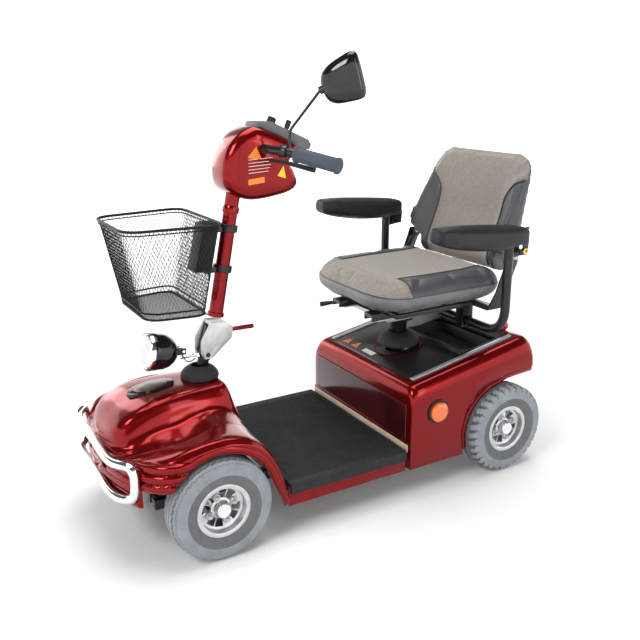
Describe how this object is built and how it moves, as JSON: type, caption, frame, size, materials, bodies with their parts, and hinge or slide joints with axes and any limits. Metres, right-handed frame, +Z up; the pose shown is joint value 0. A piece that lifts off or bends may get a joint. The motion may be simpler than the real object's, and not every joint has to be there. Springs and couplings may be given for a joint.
{
  "type": "mobility scooter",
  "caption": "Four-wheel mobility scooter with a wire basket, adjustable tiller, swivel seat with flip-up armrests, and a battery drive under the rear body.",
  "frame": {"origin": "on the ground, under the middle of the bounding box", "axes": "+Z up, the front faces -Y, the driver's left is +X"},
  "size_m": [0.632, 1.2568, 1.168],
  "materials": {
    "red_paint": "candy red gloss lacquer",
    "black_plastic": "moulded satin black",
    "grey_plastic": "moulded grey",
    "black_steel": "powder-coated black",
    "rubber": "ribbed black rubber",
    "grip_rubber": "grey-blue grip rubber",
    "tyre": "grey non-marking rubber",
    "wheel_silver": "silver-painted casting",
    "chrome": "polished",
    "zinc_steel": "zinc plated",
    "cast_aluminium": "as cast",
    "seat_vinyl": "taupe and slate-grey vinyl",
    "pad_vinyl": "grained black integral-skin foam",
    "amber_lens": "prismatic reflector",
    "red_lens": "clear red gloss",
    "clear_lens": "faceted clear lens",
    "battery_case": "moulded"
  },
  "bodies": {
    "chassis": {"front_shroud": "red_paint", "tiller_boot": "rubber", "bumper_bar": "chrome", "chassis_frame": "black_steel", "deck_pan": "red_paint", "floor_mat": "rubber", "rear_body": "red_paint", "top_plate": "black_plastic", "reflector_left": "amber_lens", "reflector_right": "amber_lens", "tail_light_left": "red_lens", "tail_light_right": "red_lens", "battery_left": "battery_case", "battery_right": "battery_case", "controller": "cast_aluminium", "transaxle": "cast_aluminium", "pedestal": "black_steel", "pedestal_boot": "rubber"},
    "freewheel": {"freewheel_lever": "red_lens"},
    "anti_tip_left": {"anti_tip_wheel_left": "rubber"},
    "anti_tip_right": {"anti_tip_wheel_right": "rubber"},
    "wheel_rear_left": {"tyre_rear_left": "tyre", "rim_rear_left": "wheel_silver"},
    "wheel_rear_right": {"tyre_rear_right": "tyre", "rim_rear_right": "wheel_silver"},
    "steer_left": {"knuckle_left": "zinc_steel"},
    "steer_right": {"knuckle_right": "zinc_steel"},
    "wheel_front_left": {"tyre_front_left": "tyre", "rim_front_left": "wheel_silver"},
    "wheel_front_right": {"tyre_front_right": "tyre", "rim_front_right": "wheel_silver"},
    "track_rod": {"tie_rod": "zinc_steel"},
    "column": {"steering_column": "black_steel", "headlight_bracket": "chrome", "headlight_cable": "rubber"},
    "headlight": {"headlight_housing": "black_plastic", "headlight_lens": "clear_lens"},
    "tiller": {"tiller_tube": "red_paint", "tilt_bracket": "zinc_steel", "head_cover": "red_paint", "handlebar": "black_steel", "grip_left": "grip_rubber", "grip_right": "grip_rubber", "console": "grey_plastic"},
    "tilt_release": {"tilt_lever": "red_paint"},
    "basket": {"basket": "black_steel"},
    "throttle": {"throttle_lever": "black_plastic"},
    "speed_dial": {"speed_knob": "black_plastic"},
    "key": {"ignition_key": "black_plastic"},
    "horn": {"horn_button": "black_plastic"},
    "mirror_arm": {"mirror_stalk": "black_steel"},
    "mirror": {"mirror_shell": "black_plastic"},
    "seat_base": {"swivel_plate": "zinc_steel"},
    "swivel_release": {"swivel_lever": "black_plastic"},
    "seat": {"seat_frame": "black_steel", "seat_cushion": "seat_vinyl", "arm_tube": "black_steel"},
    "seat_back": {"backrest": "seat_vinyl"},
    "arm_left": {"armrest_left": "pad_vinyl"},
    "arm_right": {"armrest_right": "pad_vinyl"}
  },
  "joints": [
    {"name": "tiller_steer", "type": "hinge", "parent": "chassis", "child": "column", "pos_m": [0, -0.322, 0.393], "axis": [0, 0.2756, 0.9613], "range_deg": [-30, 30]},
    {"name": "front_left_steer", "type": "hinge", "parent": "chassis", "child": "steer_left", "pos_m": [0.18, -0.391, 0.13], "axis": [0, 0, 1], "range_deg": [-26, 26]},
    {"name": "front_right_steer", "type": "hinge", "parent": "chassis", "child": "steer_right", "pos_m": [-0.18, -0.391, 0.13], "axis": [0, 0, 1], "range_deg": [-26, 26]},
    {"name": "tie_rod_swing", "type": "hinge", "parent": "steer_left", "child": "track_rod", "pos_m": [0.18, -0.333, 0.166], "axis": [0, 0, 1], "range_deg": [-26, 26]},
    {"name": "front_left_spin", "type": "hinge", "parent": "steer_left", "child": "wheel_front_left", "pos_m": [0.241, -0.391, 0.12937], "axis": [1, 0, 0], "continuous": true},
    {"name": "front_right_spin", "type": "hinge", "parent": "steer_right", "child": "wheel_front_right", "pos_m": [-0.241, -0.391, 0.12937], "axis": [1, 0, 0], "continuous": true},
    {"name": "rear_left_spin", "type": "hinge", "parent": "chassis", "child": "wheel_rear_left", "pos_m": [0.248, 0.499, 0.12937], "axis": [1, 0, 0], "continuous": true},
    {"name": "rear_right_spin", "type": "hinge", "parent": "chassis", "child": "wheel_rear_right", "pos_m": [-0.248, 0.499, 0.12937], "axis": [1, 0, 0], "continuous": true},
    {"name": "anti_tip_left_spin", "type": "hinge", "parent": "chassis", "child": "anti_tip_left", "pos_m": [0.116, 0.558, 0.052], "axis": [1, 0, 0], "continuous": true},
    {"name": "anti_tip_right_spin", "type": "hinge", "parent": "chassis", "child": "anti_tip_right", "pos_m": [-0.116, 0.558, 0.052], "axis": [1, 0, 0], "continuous": true},
    {"name": "freewheel_throw", "type": "hinge", "parent": "chassis", "child": "freewheel", "pos_m": [0.162, 0.58, 0.332], "axis": [1, 0, 0], "range_deg": [0, 12]},
    {"name": "tiller_tilt", "type": "hinge", "parent": "column", "child": "tiller", "pos_m": [0, -0.31139, 0.43], "axis": [1, 0, 0], "range_deg": [-12, 10]},
    {"name": "tilt_lever_pull", "type": "hinge", "parent": "tiller", "child": "tilt_release", "pos_m": [0, -0.252, 0.482], "axis": [1, 0, 0], "range_deg": [0, 20], "stiffness_Nm_per_rad": 1.5, "springref_deg": -20.05},
    {"name": "headlight_tilt", "type": "hinge", "parent": "column", "child": "headlight", "pos_m": [0, -0.372, 0.447], "axis": [1, 0, 0], "range_deg": [-12, 6]},
    {"name": "basket_lift", "type": "slide", "parent": "tiller", "child": "basket", "axis": [0, 0.1988, 0.98], "range_m": [0, 0.015]},
    {"name": "throttle_push", "type": "hinge", "parent": "tiller", "child": "throttle", "pos_m": [0, -0.15, 0.915], "axis": [0, 0, 1], "range_deg": [-10, 10], "stiffness_Nm_per_rad": 0.6},
    {"name": "speed_dial_turn", "type": "hinge", "parent": "tiller", "child": "speed_dial", "pos_m": [0, -0.105, 1.0005], "axis": [0, 0.4191, 0.908], "range_deg": [0, 270]},
    {"name": "key_turn", "type": "hinge", "parent": "tiller", "child": "key", "pos_m": [0.02, -0.072, 0.98527], "axis": [0, 0.4191, 0.908], "range_deg": [0, 60]},
    {"name": "horn_press", "type": "slide", "parent": "tiller", "child": "horn", "axis": [0, -0.4191, -0.908], "range_m": [0, 0.0035], "stiffness_N_per_m": 400, "springref_m": -0.002},
    {"name": "mirror_arm_turn", "type": "hinge", "parent": "tiller", "child": "mirror_arm", "pos_m": [0.127, -0.122, 0.958], "axis": [0, 0, 1], "range_deg": [-20, 25]},
    {"name": "mirror_tilt", "type": "hinge", "parent": "mirror_arm", "child": "mirror", "pos_m": [0.195, -0.076, 1.08], "axis": [0.6428, 0.766, 0], "range_deg": [-12, 12]},
    {"name": "seat_swivel", "type": "hinge", "parent": "chassis", "child": "seat_base", "pos_m": [0, 0.305, 0.446], "axis": [0, 0, 1], "range_deg": [-45, 45]},
    {"name": "swivel_lever_pull", "type": "hinge", "parent": "seat_base", "child": "swivel_release", "pos_m": [-0.11, 0.24, 0.46], "axis": [0, 0, 1], "range_deg": [0, 12], "stiffness_Nm_per_rad": 0.6, "springref_deg": -5.73},
    {"name": "seat_slide", "type": "slide", "parent": "seat_base", "child": "seat", "axis": [0, 1, 0], "range_m": [-0.03, 0.05]},
    {"name": "backrest_fold", "type": "hinge", "parent": "seat", "child": "seat_back", "pos_m": [0, 0.528, 0.628], "axis": [1, 0, 0], "range_deg": [0, 70]},
    {"name": "arm_left_flip", "type": "hinge", "parent": "seat", "child": "arm_left", "pos_m": [0.286, 0.492, 0.662], "axis": [1, 0, 0], "range_deg": [-90, 0]},
    {"name": "arm_right_flip", "type": "hinge", "parent": "seat", "child": "arm_right", "pos_m": [-0.286, 0.492, 0.662], "axis": [1, 0, 0], "range_deg": [-90, 0]}
  ],
  "couplings": [
    {"joint": "front_left_steer", "follows": "tiller_steer", "ratio": 0.8535},
    {"joint": "front_right_steer", "follows": "tiller_steer", "ratio": 0.8535},
    {"joint": "tie_rod_swing", "follows": "tiller_steer", "ratio": -0.8535}
  ]
}
